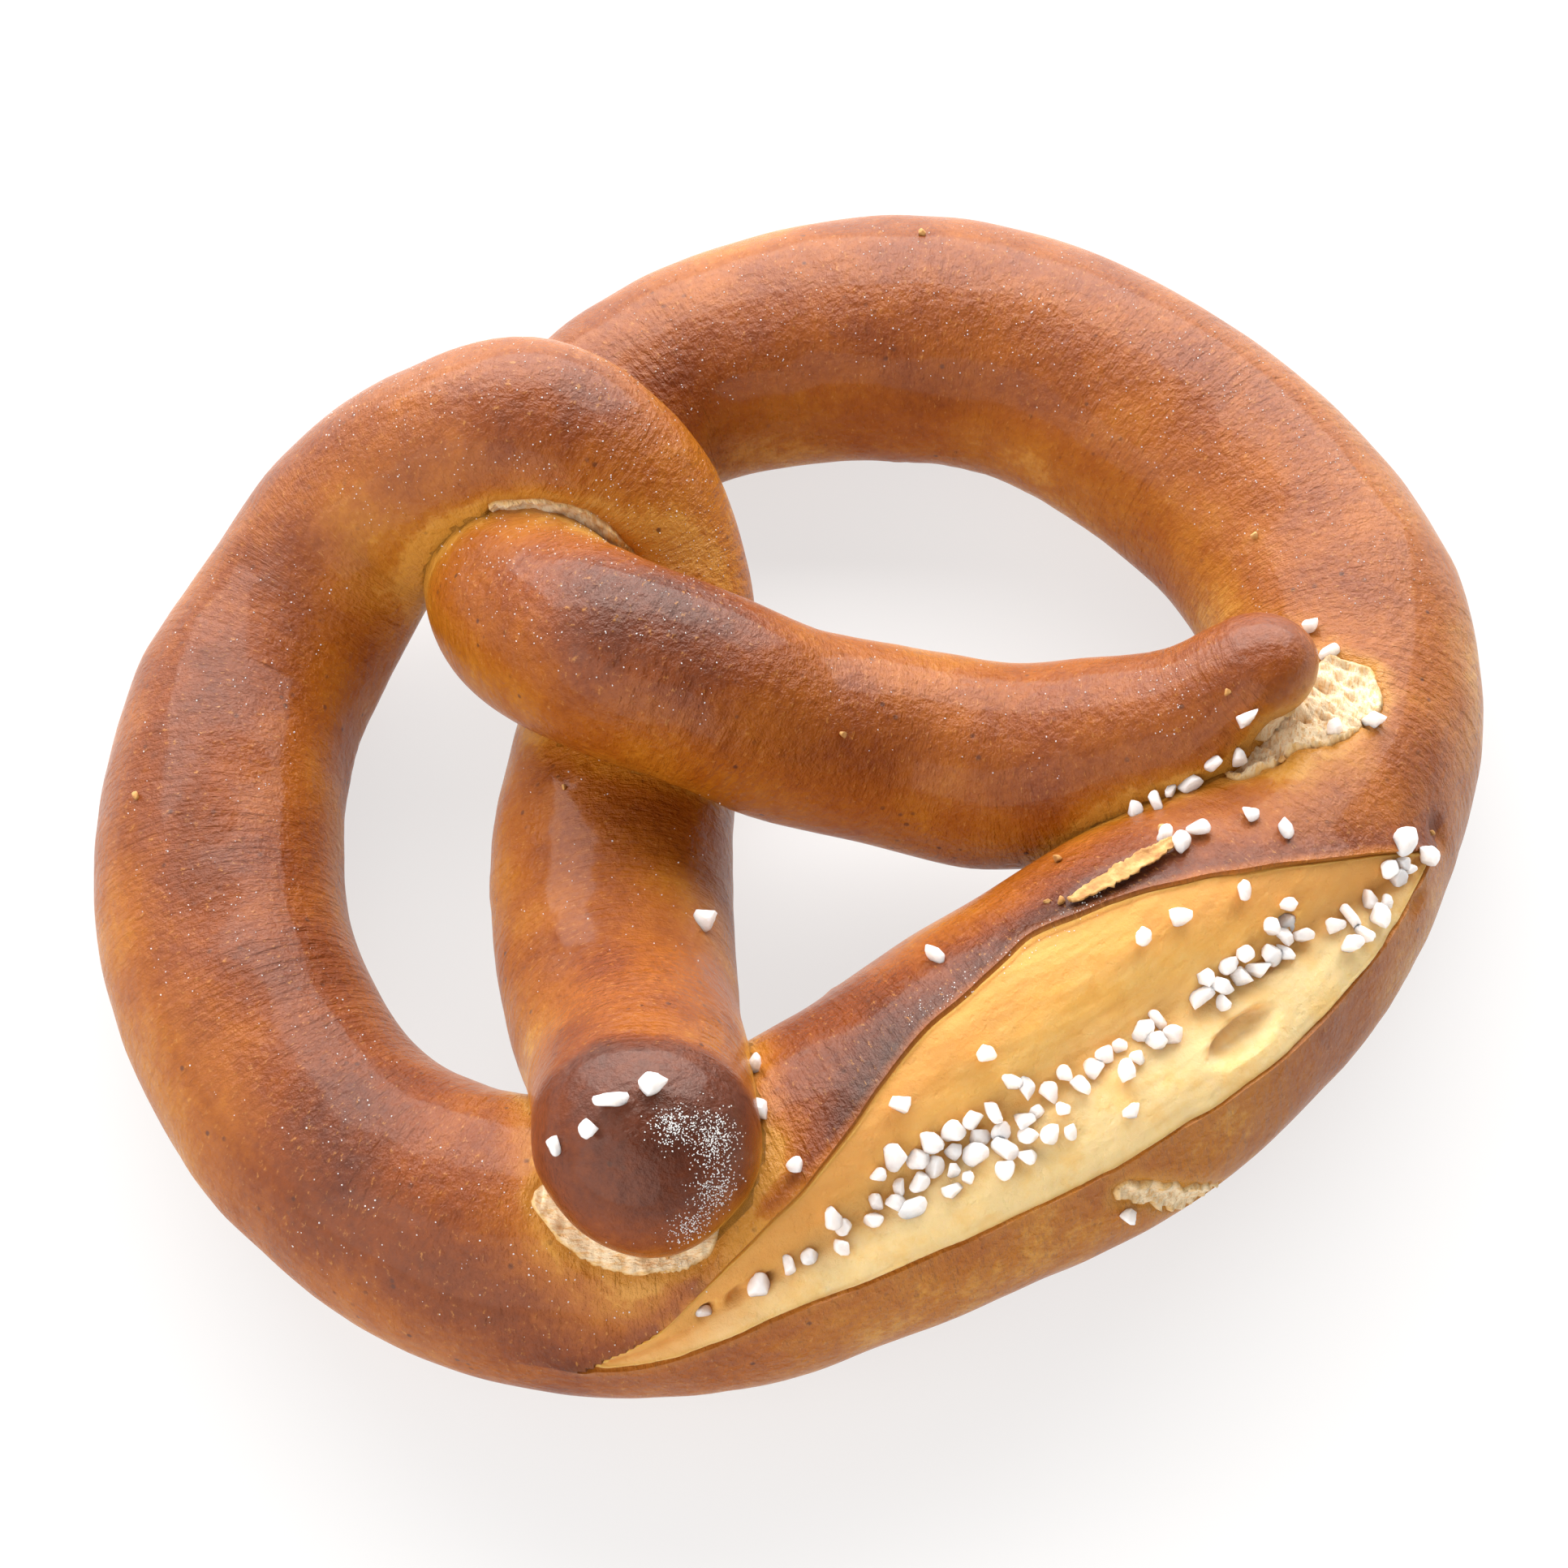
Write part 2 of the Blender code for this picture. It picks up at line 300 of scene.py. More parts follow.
def split_profile(places, angles, radius):
    """For every point: mm outside the split's outline, and above its upper lip; how deep it is,
    how near the valley from 0 to 1, and whether it is on the lower wall."""
    share, opening, low, high = (line[:, None] for line in split_lines(places))
    arc = np.radians(1) * radius
    beyond = np.maximum(0, np.maximum(SPLIT_FROM - places, places - SPLIT_TO))[:, None]
    below_low = (low - angles) * arc
    above_high = (angles - high) * arc
    outside = np.maximum(below_low, above_high)
    within = np.where(beyond > 0, beyond, outside)
    distance = np.where(outside > 0, np.hypot(outside, beyond), within)
    across = np.clip((angles - low) / np.maximum(high - low, 0.01), 0, 1)
    wall = np.where(across < VALLEY_PLACE, across / VALLEY_PLACE, (1 - across) / (1 - VALLEY_PLACE))
    wall = rounded(wall)
    lower = ease((VALLEY_PLACE - across) / 0.12)
    inside = (share > 0) & (share < 1) & (distance < 0)
    depth = np.where(inside, VALLEY_DEPTH * opening * wall**WALL_CURVE, 0.0)
    valley = np.where(inside, wall * ease(opening / 0.6), 0.0)
    return distance, above_high, depth, valley, np.where(inside, lower, 0.0)


def rounded(wall):
    """Rounds off the bottom of the valley, where the wall's share is 1."""
    soft = VALLEY_ROUNDING
    flat = 1 + soft - math.hypot(1, soft)
    return (1 + soft - np.hypot(1 - wall, soft) - flat) / (1 - flat)


def strand_gap(points, first, last):
    """How many mm each point is from the surface of this stretch of the rope."""
    centres, halves = rope_frames(np.arange(first, last + 1.0, 1.5))[:2]
    away = np.linalg.norm(points[:, None] - centres, axis=2) - halves.mean(axis=1)
    return away.min(axis=1)


def torn_distance(points, places):
    """How many mm outside the nearest torn spot each point is, with a ragged edge."""
    ragged = noise_at(points, 3.5, 5, 3)
    nearest = np.full(len(points), 99.0)
    for middle, halves, (first, last) in TORN_SPOTS:
        away = (points - middle) / halves
        distance = (np.linalg.norm(away, axis=1) - 1.0 - 0.11 * ragged) * min(halves)
        reached = (places > first) & (places < last)
        nearest = np.where(reached, np.minimum(nearest, distance), nearest)
    for (first, last), other, width, middle, halves in TORN_SEAMS:
        reached = (places > first) & (places < last)
        near = points[reached]
        limit = (np.linalg.norm((near - middle) / halves, axis=1) - 1.0) * min(halves)
        distance = np.maximum(strand_gap(near, *other) - width * (1 + 0.3 * ragged[reached]), limit)
        nearest[reached] = np.minimum(nearest[reached], distance)
    return nearest


def dent_depth(points):
    """How deep the dents and holes are at each point."""
    depth = np.zeros(len(points))
    for middle, halves, deep in DENTS:
        away = np.linalg.norm((points - middle) / halves, axis=1)
        depth += deep * ease(1.15 - away)
    return depth


def pit_depth(places, angles, radius):
    """How deep the crumb's pits are at each point."""
    depth = np.zeros(angles.shape)
    for place, angle, half_length, half_width, deep in PITS:
        across = np.radians(angles - angle) * radius / half_width
        away = np.hypot((places[:, None] - place) / half_length, across)
        depth += deep * ease((1.1 - away) / 0.6)
    return depth


def trim_depth(places, out):
    """How far the ends of the rope are drawn in."""
    depth = np.zeros(out.shape[:2])
    for end, side, deep in TRIMS:
        facing = ease((out @ np.array(side) - 0.1) / 0.9)
        depth += deep * facing * (1 - ease(np.abs(places - end) / TRIM_FADE))[:, None]
    return depth


# ---- the bread

# What is stored at each point: its place on the rope, the way out, the mm outside any opening,
# torn spot, upper lip and split, the valley's and lower wall's shares, and 0 on the round ends.
FACTS = ("rope", "outward", "open", "torn", "upper_lip", "split", "wall", "lower_wall", "body")


def crust_relief(points, rope):
    """How far the crust stands above the smooth rope: swellings, dents and wrinkles."""
    swelling = 0.40 * noise_at(points, 16.0, 11) + 0.16 * noise_at(points, 6.0, 12)
    stretched = rope * (1 / 3.2, 1 / 9.0, 1.0)
    wrinkled = np.clip(noise_at(points, 24.0, 14) + 0.2, 0, 1)
    wrinkles = 0.12 * wrinkled * noise_at(stretched, 1.0, 13, 2)
    blisters = cells_at(points, 11.0, 15)
    return swelling + wrinkles + 0.16 * ease(1 - blisters / 0.14) - dent_depth(points)


def smooth_tube(places, angles, beyond):
    """The rope's smooth points as rings by columns, the way out at each, and each ring's radius."""
    centres, halves, along, side, up = rope_frames(places)
    reach = halves.mean(axis=1)
    shrink = np.sqrt(np.maximum(1 - (beyond / reach) ** 2, 0))
    forward = np.where(places < 0, -1.0, 1.0) * beyond
    centres = centres + along * forward[:, None]
    a = np.radians(angles)
    across = side[:, None] * (halves[:, 0, None] * np.cos(a))[..., None]
    across = across + up[:, None] * (halves[:, 1, None] * np.sin(a))[..., None]
    out = across * shrink[:, None, None] + (along * forward[:, None])[:, None]
    points = centres[:, None] + across * shrink[:, None, None]
    out /= np.linalg.norm(out, axis=2)[..., None]
    return points, out, reach[:, None]


def bread_grid():
    """The bread's points as rings by columns, with what the materials need at each point."""
    places = ring_places()
    angles = column_angles(places)
    beyond = np.maximum(0, np.maximum(-places, places - ROPE_END))
    round_points, out, radius = smooth_tube(places, angles, beyond)
    distance, above_high, depth, wall, lower = split_profile(places, angles, radius)
    flat = round_points.reshape(-1, 3)
    a = np.radians(angles)
    rope = np.stack([places[:, None] + 0 * a, a * radius, 0 * a], axis=2).reshape(-1, 3)
    torn = torn_distance(flat, rope[:, 0]).reshape(a.shape)

    height = crust_relief(flat, rope).reshape(a.shape)
    lip = np.exp(-((np.maximum(distance, 0) / LIP_RISE_REACH) ** 2))
    rise = np.where(above_high > -0.5, UPPER_LIP_RISE, LOWER_LIP_RISE)
    height += np.where(distance > -0.01, lip * rise, 0.0)
    step = LIP_STEP * np.clip(-distance / LIP_WALL, 0, 1)
    height -= np.maximum(step, TORN_STEP * ease(-torn / 0.9)) + depth
    height -= pit_depth(places, angles, radius) + trim_depth(places, out)

    body = (1 - ease(beyond / 3.0))[:, None].repeat(COLUMNS, axis=1)
    numbers = (np.minimum(distance, torn), torn, above_high, distance, wall, lower, body)
    facts = dict(zip(FACTS, [rope, out.reshape(-1, 3)] + [values.ravel() for values in numbers]))
    return round_points + out * height[..., None], facts


def grid_mesh(name, points, facts):
    """A closed tube from rings of points. Its ends are closed by a fan."""
    poles = np.array([points[0].mean(axis=0), points[-1].mean(axis=0)])
    first = points.shape[0] * points.shape[1]
    index = np.arange(first).reshape(points.shape[:2])
    turned = np.roll(index, -1, axis=1)
    quads = np.stack([index[:-1], turned[:-1], turned[1:], index[1:]], axis=2).reshape(-1, 4)
    faces = [tuple(quad) for quad in quads.tolist()]
    faces += [(b, a, first) for a, b in zip(index[0].tolist(), turned[0].tolist())]
    faces += [(a, b, first + 1) for a, b in zip(index[-1].tolist(), turned[-1].tolist())]
    mesh = bpy.data.meshes.new(name)
    mesh.from_pydata(np.concatenate([points.reshape(-1, 3), poles]) * MM, [], faces)
    for key, values in facts.items():
        ends = np.stack([values[0], values[-1]])
        store(mesh, key, np.concatenate([values, ends]))
    store(mesh, "kept", np.ones(len(mesh.vertices)))
    return mesh


def store(mesh, name, values):
    """Keeps one number or one vector for each vertex."""
    kind = "FLOAT" if values.ndim == 1 else "FLOAT_VECTOR"
    layer = mesh.attributes.get(name) or mesh.attributes.new(name, kind, "POINT")
    field = "value" if values.ndim == 1 else "vector"
    layer.data.foreach_set(field, np.asarray(values, np.float32).ravel())


def read(mesh, name):
    """The numbers or vectors kept for the vertices."""
    layer = mesh.attributes[name]
    wide = 1 if layer.data_type == "FLOAT" else 3
    values = np.empty(len(mesh.vertices) * wide, np.float32)
    layer.data.foreach_get("value" if wide == 1 else "vector", values)
    return values.astype(float) if wide == 1 else values.astype(float).reshape(-1, 3)


def positions(mesh):
    """The vertices' places in mm."""
    values = np.empty(len(mesh.vertices) * 3, np.float32)
    mesh.vertices.foreach_get("co", values)
    return values.astype(float).reshape(-1, 3) / MM


def mesh_from(mesh, name):
    """Mesh data made from a bmesh, which is then freed."""
    data = bpy.data.meshes.new(name)
    mesh.to_mesh(data)
    mesh.free()
    return data


def linked(name, data):
    """An object in the scene with this data."""
    item = bpy.data.objects.new(name, data)
    bpy.context.scene.collection.objects.link(item)
    return item


def table_cutter():
    """A block whose top is the table that the bread lies on."""
    mesh = bmesh.new()
    bmesh.ops.create_cube(mesh, size=1.0)
    bmesh.ops.scale(mesh, vec=(TABLE_SIZE * MM, TABLE_SIZE * MM, TABLE_DEPTH * MM), verts=mesh.verts)
    cutter = linked("table_cutter", mesh_from(mesh, "table_cutter"))
    cutter.location.z = -TABLE_DEPTH * MM / 2
    return cutter


def fuse_and_flatten(piece):
    """Joins the rope where it passes through itself, and cuts it flat underneath."""
    cutter = table_cutter()
    fuse = piece.modifiers.new("fuse_and_flatten", "BOOLEAN")
    fuse.operation = "DIFFERENCE"
    fuse.solver = "EXACT"
    fuse.use_self = True
    fuse.object = cutter
    graph = bpy.context.evaluated_depsgraph_get()
    mesh = bpy.data.meshes.new_from_object(piece.evaluated_get(graph))
    piece.modifiers.clear()
    old = piece.data
    piece.data = mesh
    bpy.data.meshes.remove(old)
    bpy.data.objects.remove(cutter)


def point_tree(points, picked):
    """The picked points, for finding the nearest one."""
    tree = KDTree(len(picked))
    for i in picked:
        tree.insert(points[i], int(i))
    tree.balance()
    return tree


def fill_new_vertices(mesh):
    """Gives the vertices that the joining made the facts of the nearest old ones."""
    kept = read(mesh, "kept") > 0.5
    points = positions(mesh)
    tree = point_tree(points, np.flatnonzero(kept))
    new = np.flatnonzero(~kept)
    nearest = np.array([tree.find(points[i])[1] for i in new], int)
    for name in FACTS:
        values = read(mesh, name)
        values[new] = values[nearest]
        store(mesh, name, values)
    return points, new


def crease_distance(points, new):
    """How many mm each vertex is from the nearest crease between two strands."""
    tree = point_tree(points, [i for i in new if points[i, 2] > 1.0])
    return np.array([tree.find(point)[2] for point in points])


# Where the oven browned the crust most, and painted shade on the left loop in the spots at x of
# -60 and beyond: the middle and reach in mm, and how strongly.
BROWNING_AND_SHADE_SPOTS = (
    ((-10, 9, 42), 13, 0.34), ((-5, 42, 40), 12, 0.10), ((-31, -18, 32), 9, 0.06),
    ((10, -36, 38), 12, 0.22), ((-15, -36, 37), 10, 0.22), ((36, -24, 44), 8, 0.12),
    ((-47, -42.7, 46), 8, 0.24), ((40, 38, 30), 18, 0.10), ((-62, 34, 22), 18, 0.20),
    ((-71, -20, 24), 13, 0.42), ((-60, -40, 18), 12, 0.30), ((-45, -54, 22), 9, 0.16),
)
# Where the crust stayed palest, next to the places where strands pulled apart.
PALE_SPOTS = (
    ((-14, 33.5, 35.5), 5, 0.30), ((-8, 29, 33), 5.5, 0.42), ((-1, 24.5, 29.5), 5.5, 0.42),
    ((4, 20.5, 26), 5, 0.30), ((-55, -39, 29.5), 5.5, 0.50), ((-49.5, -46.5, 28.5), 6, 0.62),
    ((-41.5, -49.5, 31), 6, 0.60), ((-34, -46.5, 34), 5, 0.45), ((47, -34.5, 31.5), 6.5, 0.50),
    ((40, -36, 33), 5, 0.45), ((47, -27, 33), 4, 0.35), ((53, -27.5, 29), 5, 0.30),
)
# How far along the rope its darker ends reach and how dark they are, the same for the split's
# upper rim, and the least darkness outside the pale spots.
TIP_A_CAP = 3.0
TIP_B_CAP = 5.0
CAP_FADE = 4.0
TIP_A_DARKNESS = 0.42
TIP_B_DARKNESS = 0.06
RIM_WIDTH = 12.0
RIM_FADE = 4.0
RIM_DARKNESS = 0.34
LEAST_DARKNESS = 0.08


def spot_strengths(points, spots):
    """For each spot, how strong it is at every point."""
    for middle, reach, strength in spots:
        away = np.linalg.norm(points - middle, axis=1) / reach
        yield strength * np.exp(-away * away)


def crust_darkness(points, facts):
    """How dark the crust is, browned and with painted shade: from 0 to 1, and below 0 where it
    stayed palest.
    """
    rise = np.clip(facts["outward"][:, 2], -0.3, 1)
    dark = 0.14 + 0.20 * noise_at(points, 20.0, 21, 3) + 0.30 * rise * rise
    # The spots add browning, and painted shade on the left loop.
    for strengths in spot_strengths(points, BROWNING_AND_SHADE_SPOTS):
        dark += strengths
    pale = np.zeros(len(points))
    for strengths in spot_strengths(points, PALE_SPOTS):
        pale = np.maximum(pale, strengths)
    place = facts["rope"][:, 0] + 1.2 * noise_at(points, 5.0, 22, 2)
    dark += TIP_A_DARKNESS * ease((TIP_A_CAP - place) / CAP_FADE)
    dark += TIP_B_DARKNESS * ease((place - ROPE_END + TIP_B_CAP) / (2 * CAP_FADE))
    upper = (facts["upper_lip"] > 0) & (facts["split"] < RIM_WIDTH)
    fade = np.exp(-((np.maximum(facts["split"], 0) / RIM_FADE) ** 2))
    dark += np.where(upper, RIM_DARKNESS * fade, 0.0)
    return np.clip(dark, LEAST_DARKNESS, 1) - pale


def make_bread():
    """The bread, and its mesh as it was before its strands were joined."""
    points, facts = bread_grid()
    tube = grid_mesh("tube", points, facts)
    bread = linked("pretzel_crust", tube.copy())
    bread.data.name = "pretzel_crust"
    fuse_and_flatten(bread)
    mesh = bread.data
    points, new = fill_new_vertices(mesh)
    facts = {name: read(mesh, name) for name in FACTS}
    store(mesh, "crease", crease_distance(points, new))
    store(mesh, "bake_and_shade", crust_darkness(points, facts))
    store(mesh, "gloss", ease((facts["outward"][:, 2] + 0.1) / 0.8))
    mesh.shade_smooth()
    mesh.set_sharp_from_angle(angle=math.radians(SHARP_ANGLE))
    return bread, tube


# ---- the crumb

def crumb_relief(points, facts):
    """Bumps, streaks, pores and holes of the open crumb, in mm."""
    rope = facts["rope"]
    torn = ease(0.5 - facts["torn"])
    lumps = 0.24 * noise_at(points, 7.0, 31, 2)
    lumps += (0.07 + 0.60 * torn) * noise_at(points, 1.5, 32, 3)
    streaks = 0.12 * noise_at(rope * (1 / 12.0, 1 / 1.8, 1.0), 1.0, 33, 2)
    pores = -(0.04 + 0.6 * torn) * ease(1 - cells_at(points, 3.9, 34) / (0.10 + 0.3 * torn))
    holes = -0.8 * ease(1 - cells_at(points, 14.0, 35) / 0.06)
    return lumps + streaks + pores + holes - 0.5 * dent_depth(points)


def crumb_shell(tube):
    """A closed shell over the open parts of the rope, finer than the bread itself."""
    mesh = bmesh.new()
    mesh.from_mesh(tube)
    layer = mesh.verts.layers.float["open"]
    closed = [face for face in mesh.faces if max(v[layer] for v in face.verts) > CRUMB_MARGIN]
    bmesh.ops.delete(mesh, geom=closed, context="FACES")
    made = bmesh.ops.extrude_face_region(mesh, geom=mesh.faces[:], use_keep_orig=True)
    tops = [item for item in made["geom"] if isinstance(item, bmesh.types.BMFace)]
    bottoms = set(mesh.verts) - {v for face in tops for v in face.verts}
    outward = mesh.verts.layers.float_vector["outward"]
    for vert in bottoms:
        vert.co -= vert[outward] * CRUMB_THICKNESS * MM
    edges = list(dict.fromkeys(edge for face in tops for edge in face.edges))
    bmesh.ops.subdivide_edges(mesh, edges=edges, cuts=2, use_grid_fill=True)
    bmesh.ops.recalc_face_normals(mesh, faces=mesh.faces)
    under = mesh.verts.layers.float.new("under")
    for vert in bottoms:
        if vert.is_valid:
            vert[under] = 1.0
    return mesh_from(mesh, "open_crumb")


def make_crumb(tube):
    """The crumb in the open parts of the rope, higher than the crust's floor there."""
    data = crumb_shell(tube)
    points = positions(data)
    facts = {name: read(data, name) for name in FACTS}
    top = read(data, "under") < 0.5
    opened = ease(-facts["open"] / LIP_WALL)
    lift = -CRUMB_SINK + (CRUMB_SINK + CRUMB_LIFT) * opened
    lift += (crumb_relief(points, facts) + 0.25 * facts["lower_wall"]) * opened
    out = facts["outward"]
    out = out / np.maximum(np.linalg.norm(out, axis=1), 0.001)[:, None]
    points[top] += (out * lift[:, None])[top]
    data.vertices.foreach_set("co", (points * MM).astype(np.float32).ravel())
    store(data, "relief", lift)
    data.shade_smooth()
    return linked("open_crumb", data)


# ---- the salt

# Clusters of salt: from and to along the rope, from and to angle, and how many grains.
SALT_CLUSTERS = (
    (274, 286, 48, 58, 50),
    (281, 300, 47, 70, 260),
    (298, 313, 56, 67, 60),
    (316, 330, 56, 71, 70),
    (332, 345, 38, 51, 70),
)
# Single grains: place along the rope and angle.
SALT_STRAYS = (
    (261, 34), (266, 44), (269, 46), (271, 47), (274, 46), (297, 124), (273, 80), (274, 60),
    (280, 66), (285, 84), (295, 86), (296, 74), (315, 92), (319, 90), (326, 84), (334, 100),
    (335, 88), (328, 108), (325, 114), (325, 107), (614, 30), (616, 20), (611, 18), (609, 20),
    (330, 132), (328, 138), (368, 112), (362, 104), (355, 80), (353, 80), (350, 92), (620, 46),
    (301, 12), (305, 46), (31, 42), (345, 40), (249, 102), (274, 124),
    (272, 104), (252, 96),
)
# Grains on the round end of arm A, as directions from its middle.
KNOB_SALT = ((-2.6, 1, 11.5), (-5.4, 0.2, 10), (-8.6, 1.6, 7.6), (1.2, 0, 12))
# Salt dust: from and to along the rope, from and to angle, and how many specks.
DUST_AREAS = (
    (290, 315, 104, 112, 110),
    (370, 480, 50, 140, 640),
    (86, 128, 40, 140, 520),
    (512, 552, 40, 140, 460),
    (140, 225, 50, 130, 260),
    (225, 262, 20, 100, 160),
    (20, 60, 40, 140, 60),
    (560, 610, 50, 130, 60),
    (610, 618, 60, 120, 60),
)
# Patches of dust on the round end: direction, reach in mm and how many specks.
KNOB_DUST = (
    ((0.9, -4.2, 11.5), 1.1, 300),
    ((3.9, -7.0, 9.2), 1.5, 520),
    ((1.9, -10.6, 6.0), 1.5, 300),
    ((-1.9, -11.6, 3.4), 1.3, 200),
)
SPECK_SIZES = (0.07, 0.20)
# How many planes cut a grain, how high it lies, and how close two may be, per mm of size.
GRAIN_SIZES = (1.7, 2.6)
GRAIN_PLANES = 9
GRAIN_HEIGHT = 0.34
GRAIN_SPACING = 0.42
RAY_LENGTH = 0.05


def grain_mesh(mesh, centre, turn, size, dice):
    """One worn crystal: a ball cut by soft planes, added to the mesh."""
    before = len(mesh.verts)
    bmesh.ops.create_icosphere(mesh, subdivisions=3, radius=1.0)
    mesh.verts.ensure_lookup_table()
    planes = []
    for _ in range(GRAIN_PLANES):
        normal = Vector((dice.gauss(0, 1), dice.gauss(0, 1), dice.gauss(0, 1))).normalized()
        planes.append((normal, dice.uniform(0.46, 0.74)))
    stretch = Vector((dice.uniform(0.95, 1.25), dice.uniform(0.85, 1.05), dice.uniform(0.65, 0.85)))
    for vert in mesh.verts[before:]:
        point = vert.co.copy()
        for normal, level in planes:
            over = point.dot(normal) - level
            if over > 0:
                point -= normal * over * 0.96
        point *= 1 + 0.07 * noise.noise(point * 2.6 + centre * 900)
        vert.co = centre + turn @ (point * stretch) * (size * 0.62 * MM)


def first_hit(trees, start, direction):
    """The nearest place where a ray meets the bread or the crumb."""
    hits = [tree.ray_cast(start, direction, RAY_LENGTH) for tree in trees]
    hits = [hit for hit in hits if hit[0] is not None]
    return min(hits, key=lambda hit: hit[3]) if hits else None


def surface_point(trees, place, angle):
    """The point and normal where a line in towards the rope at this place meets the surface."""
    centres, halves, _, side, up = rope_frames(np.array([float(place)]))
    a = math.radians(angle)
    out = side[0] * halves[0, 0] * math.cos(a) + up[0] * halves[0, 1] * math.sin(a)
    return first_hit(trees, Vector(centres[0] + out * 1.5) * MM, -Vector(out).normalized())


def knob_point(trees, direction):
    """The point and normal on the round end of arm A in this direction from its middle."""
    middle = Vector(STATIONS[0, :3]) * MM
    outward = Vector(direction).normalized()
    return first_hit(trees, middle + outward * 0.03, -outward)


def spread(dice, areas):
    """Random places and angles within each area."""
    spots = []
    for place_from, place_to, angle_from, angle_to, count in areas:
        for _ in range(count):
            spots.append((dice.uniform(place_from, place_to), dice.uniform(angle_from, angle_to)))
    return spots


def piece_from(mesh, name):
    """A smooth-shaded object in the scene made from a bmesh."""
    data = mesh_from(mesh, name)
    data.shade_smooth()
    return linked(name, data)


def random_turn(dice):
    return Euler([dice.uniform(0, 2 * math.pi) for _ in range(3)]).to_matrix()


def make_salt(trees):
    """The coarse grains: those of the round end, the single ones and the clusters."""
    dice = random.Random(7)
    mesh = bmesh.new()
    taken = []
    hits = [knob_point(trees, direction) for direction in KNOB_SALT]
    hits += [surface_point(trees, *spot) for spot in SALT_STRAYS]
    hits += [surface_point(trees, *spot) for spot in spread(dice, SALT_CLUSTERS)]
    for hit in filter(None, hits):
        size = dice.uniform(*GRAIN_SIZES)
        turn = random_turn(dice)
        centre = hit[0] + hit[1] * size * GRAIN_HEIGHT * MM
        near = [(centre - other).length / (size + other_size) for other, other_size in taken]
        if near and min(near) < GRAIN_SPACING * MM:
            continue
        taken.append((centre, size))
        grain_mesh(mesh, centre, turn, size, dice)
    return piece_from(mesh, "salt_grains")


def make_dust(trees):
    """Specks of salt, too small to tell apart, where the salt was strewn."""
    dice = random.Random(11)
    hits = [surface_point(trees, *spot) for spot in spread(dice, DUST_AREAS)]
    for middle, reach, count in KNOB_DUST:
        for _ in range(count):
            away = [dice.gauss(value, reach) for value in middle]
            hits.append(knob_point(trees, away))
    mesh = bmesh.new()
    for hit in filter(None, hits):
        size = dice.uniform(*SPECK_SIZES) * MM
        shape = Matrix.Diagonal((size, size * dice.uniform(0.6, 1.0), size * 0.7)).to_4x4()
        place = Matrix.Translation(hit[0] + hit[1] * size * 0.2) @ random_turn(dice).to_4x4() @ shape
        bmesh.ops.create_icosphere(mesh, subdivisions=1, radius=0.6, matrix=place)
    return piece_from(mesh, "salt_dust")


# ---- flake and crumbs

# The flake of crust on the upper lip: from and to along the rope, and the angle at both ends.
FLAKE_PLACES = (311.5, 325.0)
FLAKE_ANGLES = (113.0, 109.0)
FLAKE_HALF_WIDTH = 1.25
FLAKE_THICKNESS = 0.55
FLAKE_STEPS = 48
FLAKE_COLUMNS = 9
# Loose crumbs: place along the rope, angle and size in mm.
CRUMBS = (
    (444.5, 64, 1), (565, 60, 0.9), (316, 138, 1), (177.5, 56, 0.8), (386, 122, 0.9),
    (326, 118, 1.1), (311, 116, 0.9), (344, 104, 1), (259, 62, 0.8), (348, 36, 0.7),
    (53, 112, 0.7), (310, 120, 0.6), (620, 70, 0.8),
)


def flake_row(trees, share):
    """Where the flake lies at this share of its length, up and across it, and its width."""
    place = FLAKE_PLACES[0] + (FLAKE_PLACES[1] - FLAKE_PLACES[0]) * share
    angle = FLAKE_ANGLES[0] + (FLAKE_ANGLES[1] - FLAKE_ANGLES[0]) * share
    base, normal = surface_point(trees, place, angle)[:2]
    along = Vector(rope_frames(np.array([place]))[2][0])
    across = normal.cross(along).normalized()
    width = FLAKE_HALF_WIDTH * math.sin(math.pi * (0.08 + 0.84 * share)) ** 0.6
    return base, normal, across, width, share


def flake_line(mesh, row, level):
    """The vertices across this row, on the flake's top (1) or underside (0)."""
    base, normal, across, width, share = row
    line = []
    for k in range(FLAKE_COLUMNS):
        v = 2 * k / (FLAKE_COLUMNS - 1) - 1
        teeth = 1 + 0.35 * noise.noise(Vector((share * 31, 4.0 if v > 0 else 9.0, 0)))
        curl = 0.35 + 0.5 * v * v * (0.4 + share) + 0.3 * noise.noise(Vector((share * 9, v, 2)))
        rough = 0.16 * noise.noise(Vector((share * 40, v * 5, level * 3)))
        height = curl + rough + level * FLAKE_THICKNESS * (1 - 0.7 * v * v)
        point = base + (across * v * width * teeth + normal * height) * MM
        line.append(mesh.verts.new(point))
    return line


def make_flake(trees):
    """A curled sliver of crust with a serrated edge."""
    rows = [flake_row(trees, i / FLAKE_STEPS) for i in range(FLAKE_STEPS + 1)]
    mesh = bmesh.new()
    sheets = [[flake_line(mesh, row, level) for row in rows] for level in (1, 0)]
    join_sheets(mesh, *sheets)
    bmesh.ops.recalc_face_normals(mesh, faces=mesh.faces)
    return piece_from(mesh, "crust_flake")


def join_sheets(mesh, top, bottom):
    """Faces on two grids of vertices, and round their edges."""
    for sheet in (top, bottom):
        for line, following in zip(sheet, sheet[1:]):
            for k in range(len(line) - 1):
                mesh.faces.new((line[k], line[k + 1], following[k + 1], following[k]))
    border = [(line[0], other[0]) for line, other in zip(top, bottom)]
    border += list(zip(top[-1], bottom[-1]))[1:]
    border += [(line[-1], other[-1]) for line, other in zip(top, bottom)][::-1][1:]
    border += list(zip(top[0], bottom[0]))[::-1][1:]
    for (a, b), (c, d) in zip(border, border[1:]):
        mesh.faces.new((a, c, d, b))


